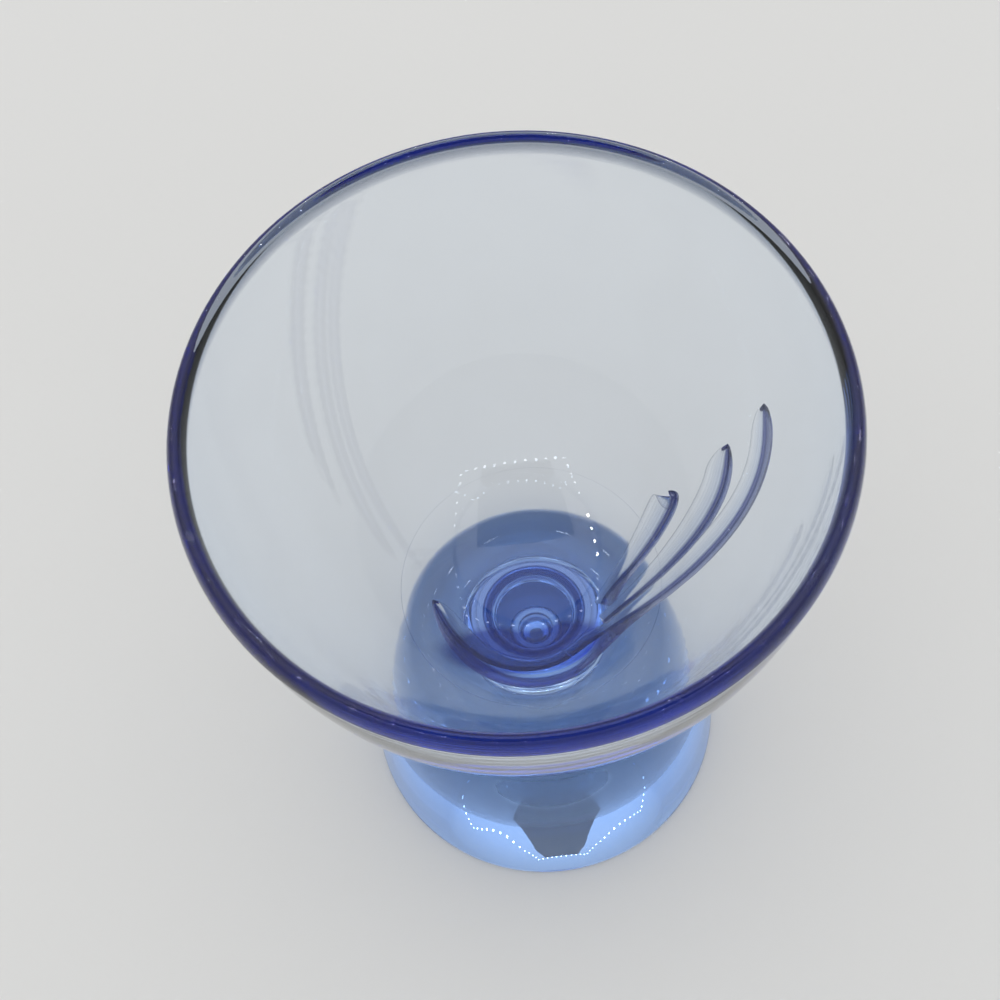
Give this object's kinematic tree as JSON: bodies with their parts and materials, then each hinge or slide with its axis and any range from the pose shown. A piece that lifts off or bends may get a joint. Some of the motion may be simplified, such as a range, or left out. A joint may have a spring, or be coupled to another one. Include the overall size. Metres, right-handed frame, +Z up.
{
  "type": "footed dessert bowl",
  "caption": "Deep clear blue glass dessert bowl on a short neck and a tall round foot of thick glass, with a darker rolled lip and pulled trails sweeping up one side.",
  "frame": {"origin": "centre of the flat face that the foot rests on", "axes": "+Z up from the foot to the open rim, -Y towards the picture's camera, +X to its right, where the pulled trails are"},
  "size_m": [0.112, 0.112, 0.144],
  "materials": {
    "pale_blue_glass": "fire polished, clear, with a faint cool blue tint",
    "mid_blue_glass": "fire polished, clear mid blue, ground and polished under the foot",
    "deep_blue_glass": "fire polished, dense blue trails"
  },
  "bodies": {
    "root": {"foot": "mid_blue_glass", "stem": "mid_blue_glass", "calyx": "mid_blue_glass", "bowl": "pale_blue_glass", "lip_wrap": "deep_blue_glass", "crescent_wrap": "deep_blue_glass", "trail_long": "deep_blue_glass", "trail_middle": "deep_blue_glass", "trail_short": "deep_blue_glass"}
  },
  "joints": []
}
